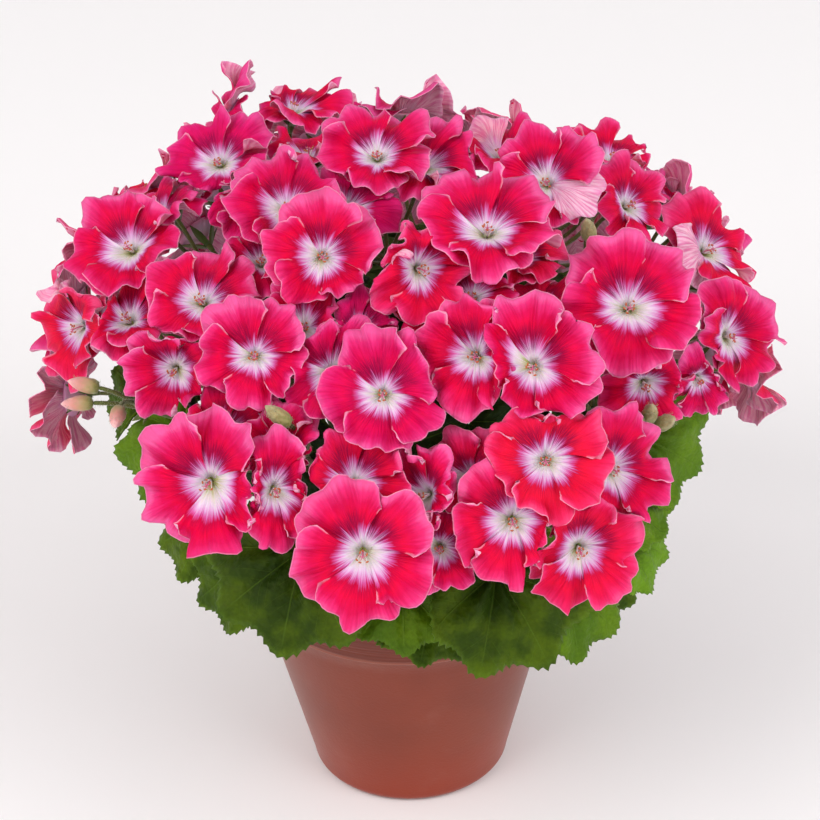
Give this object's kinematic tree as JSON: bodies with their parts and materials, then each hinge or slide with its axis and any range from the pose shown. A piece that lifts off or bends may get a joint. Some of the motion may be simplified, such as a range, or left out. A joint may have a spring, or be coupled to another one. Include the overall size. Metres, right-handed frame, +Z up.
{
  "type": "potted pelargonium",
  "caption": "Potted pelargonium in flower: a dome of ruffled crimson flower heads over toothed green leaves, in soil in a smooth round terracotta coloured pot.",
  "frame": {"origin": "middle of the pot's flat underside, where it stands", "axes": "+Z up along the pot's axis, -Y towards the front that the picture shows, +X to the picture's right"},
  "size_m": [0.2868, 0.3012, 0.2907],
  "materials": {
    "petal": "soft satin petal, crimson pink with a white lilac throat and a pale frilled margin",
    "bud": "downy bud, pinkish green",
    "leaf": "matte living leaf and green stem",
    "pot": "smooth satin plastic, terracotta coloured",
    "soil": "moist dark potting compost, mostly peat and bark"
  },
  "bodies": {
    "root": {"pot": "pot", "soil": "soil", "stems_and_leaves": "leaf", "head_top_left": "petal", "head_top_left_rear": "petal", "head_upper_left": "petal", "head_left": "petal", "head_left_middle": "petal", "head_top_middle": "petal", "head_centre": "petal", "head_top_right_rear": "petal", "head_right": "petal", "head_right_big": "petal", "head_far_right": "petal", "head_centre_right": "petal", "head_centre_left": "petal", "head_lower_right": "petal", "head_low_right": "petal", "head_low_centre": "petal", "head_low_left": "petal", "head_rear_low_1": "petal", "head_rear_low_2": "petal", "head_rear_low_3": "petal", "head_rear_low_4": "petal", "head_rear_low_5": "petal", "head_rear_high_1": "petal", "head_rear_high_2": "petal", "head_rear_high_3": "petal", "head_rear_side_1": "petal", "head_rear_side_2": "petal", "head_left_buds": "bud"}
  },
  "joints": []
}
